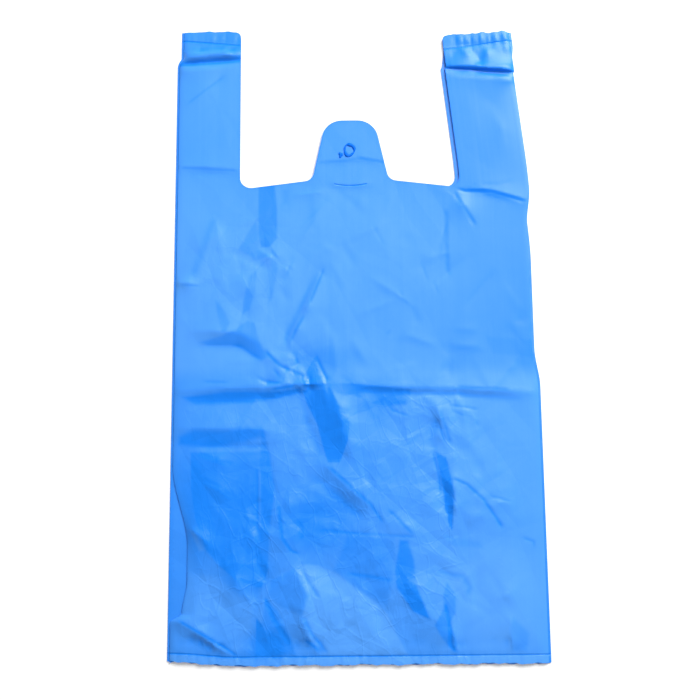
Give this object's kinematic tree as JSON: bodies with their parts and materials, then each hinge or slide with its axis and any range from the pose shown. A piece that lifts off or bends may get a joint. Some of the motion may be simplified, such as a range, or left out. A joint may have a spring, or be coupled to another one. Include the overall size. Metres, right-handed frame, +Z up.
{
  "type": "plastic bag",
  "caption": "Blue vest-style plastic carrier bag lying flat: gusseted film tube with loop handles, cut-out neck, pin tab and welded hem.",
  "frame": {"origin": "middle of the bag's length and width, on the surface that the bag lies on", "axes": "+Y from the hem to the handles, +Z up out of the front panel, +X to the right seen from the front"},
  "size_m": [0.2842, 0.5, 0.0079],
  "materials": {
    "blue_film": "softly glossy thin HDPE film"
  },
  "bodies": {
    "root": {"carrier_bag": "blue_film"}
  },
  "joints": []
}
